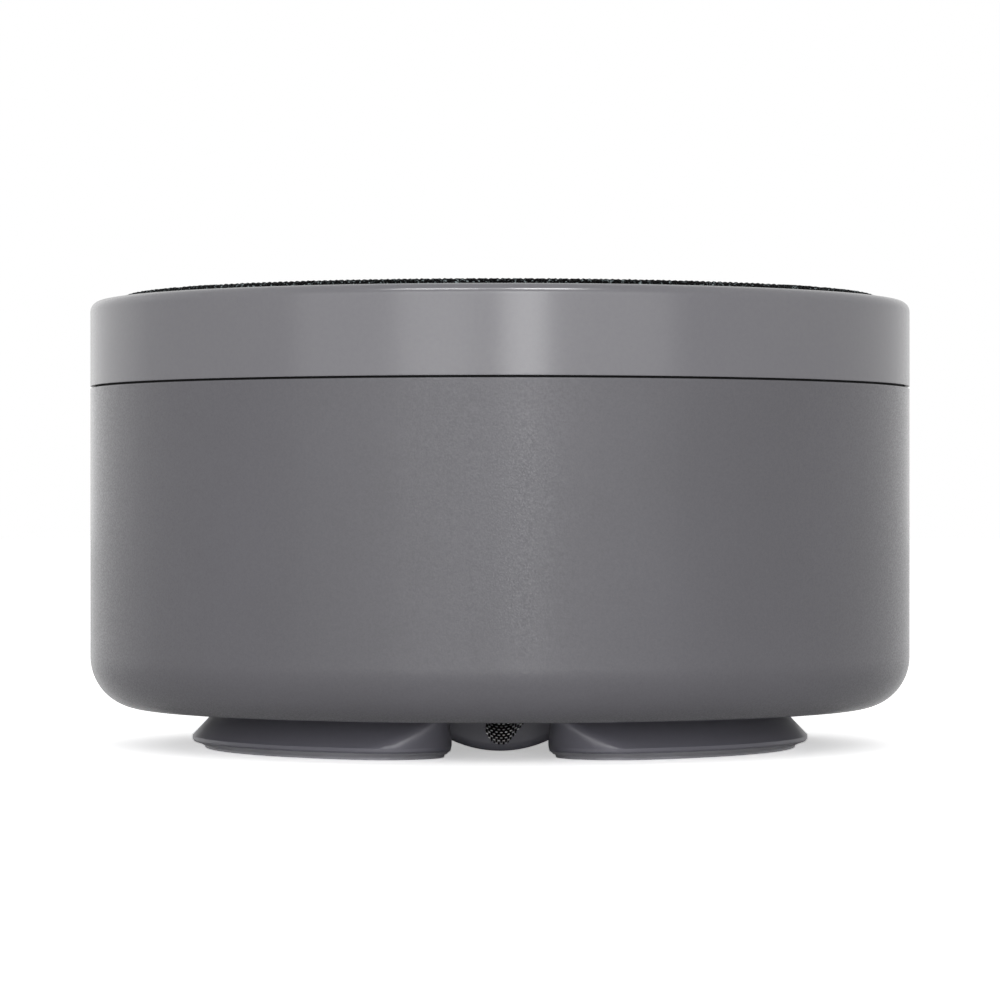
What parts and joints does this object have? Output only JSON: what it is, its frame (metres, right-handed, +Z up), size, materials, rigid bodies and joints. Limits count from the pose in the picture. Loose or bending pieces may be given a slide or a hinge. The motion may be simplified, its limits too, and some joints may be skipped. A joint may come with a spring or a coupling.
{
  "type": "smart speaker",
  "caption": "Compact round table-top smart speaker with a cloth-covered top grille, satin top ring, three flared feet and a bass port below.",
  "frame": {"origin": "centre of the speaker's footprint, on the surface that it stands on", "axes": "+Z up; the front, with the mesh window of the bass port, faces -Y; +X is to the right of a viewer in front; the power inlet and the mute switch face +Y"},
  "size_m": [0.1, 0.1, 0.0549],
  "materials": {
    "housing_grey": "matte",
    "ring_grey": "satin",
    "seam_rubber": "matte",
    "cloth_black": "matte",
    "inner_black": "matte",
    "base_grey": "satin",
    "pad_rubber": "matte",
    "mesh_wire": "satin",
    "screw_steel": "satin",
    "seal_foam": "matte",
    "magnet_steel": "satin",
    "ballast_steel": "matte",
    "ferrite": "matte",
    "coil_copper": "satin",
    "former_film": "satin",
    "cone_paper": "matte",
    "surround_rubber": "matte",
    "spider_cloth": "matte",
    "terminal_board": "matte",
    "wire_jacket": "satin",
    "board_green": "satin",
    "chip_black": "matte",
    "thermal_silicone": "matte",
    "shield_tin": "satin",
    "slider_grey": "satin",
    "ribbon_amber": "satin",
    "socket_cream": "matte",
    "mic_gold": "satin",
    "light_white": "gloss",
    "light_clear": "gloss"
  },
  "bodies": {
    "housing": {"body_shell": "housing_grey", "top_ring": "ring_grey", "seam_gasket": "seam_rubber", "top_cloth": "cloth_black", "grille_plate": "inner_black", "bottom_cover": "base_grey", "foot_front_left": "base_grey", "foot_front_right": "base_grey", "foot_rear": "base_grey", "pad_front_left": "pad_rubber", "pad_front_right": "pad_rubber", "pad_rear": "pad_rubber", "port_pod": "base_grey", "port_mesh": "mesh_wire", "port_tube": "inner_black", "base_screws": "screw_steel", "baffle": "inner_black", "chamber_cup": "inner_black", "chamber_seal": "seal_foam", "baffle_screws": "screw_steel", "shell_screws": "screw_steel", "driver_gasket": "seal_foam", "driver_basket": "inner_black", "driver_screws": "screw_steel", "top_plate": "magnet_steel", "magnet": "ferrite", "yoke": "magnet_steel", "surround": "surround_rubber", "spider": "spider_cloth", "terminal_strip": "terminal_board", "speaker_wires": "wire_jacket", "wire_grommet": "seal_foam", "main_board": "board_green", "board_screws": "screw_steel", "processor": "chip_black", "thermal_pad": "thermal_silicone", "ballast_ring": "ballast_steel", "shield_can": "shield_tin", "power_coils": "chip_black", "power_socket": "shield_tin", "mute_switch": "inner_black", "ribbon_cable": "ribbon_amber", "ribbon_sockets": "socket_cream", "mic_board": "board_green", "mic_board_screws": "screw_steel", "microphones": "mic_gold", "mic_seals": "seal_foam", "status_lights": "light_white", "light_guides": "light_clear", "radio_antennas": "ribbon_amber"},
    "cone_assembly": {"coil_former": "former_film", "voice_coil": "coil_copper", "cone": "cone_paper", "dust_cap": "cone_paper"},
    "mute_knob": {"mute_slider": "slider_grey"}
  },
  "joints": [
    {"name": "cone_travel", "type": "slide", "parent": "housing", "child": "cone_assembly", "axis": [0, 0, 1], "range_m": [-0.0015, 0.0015], "stiffness_N_per_m": 900, "deforming": ["surround", "spider"]},
    {"name": "mute_slide", "type": "slide", "parent": "housing", "child": "mute_knob", "axis": [-1, 0, 0], "range_m": [0, 0.002]}
  ]
}
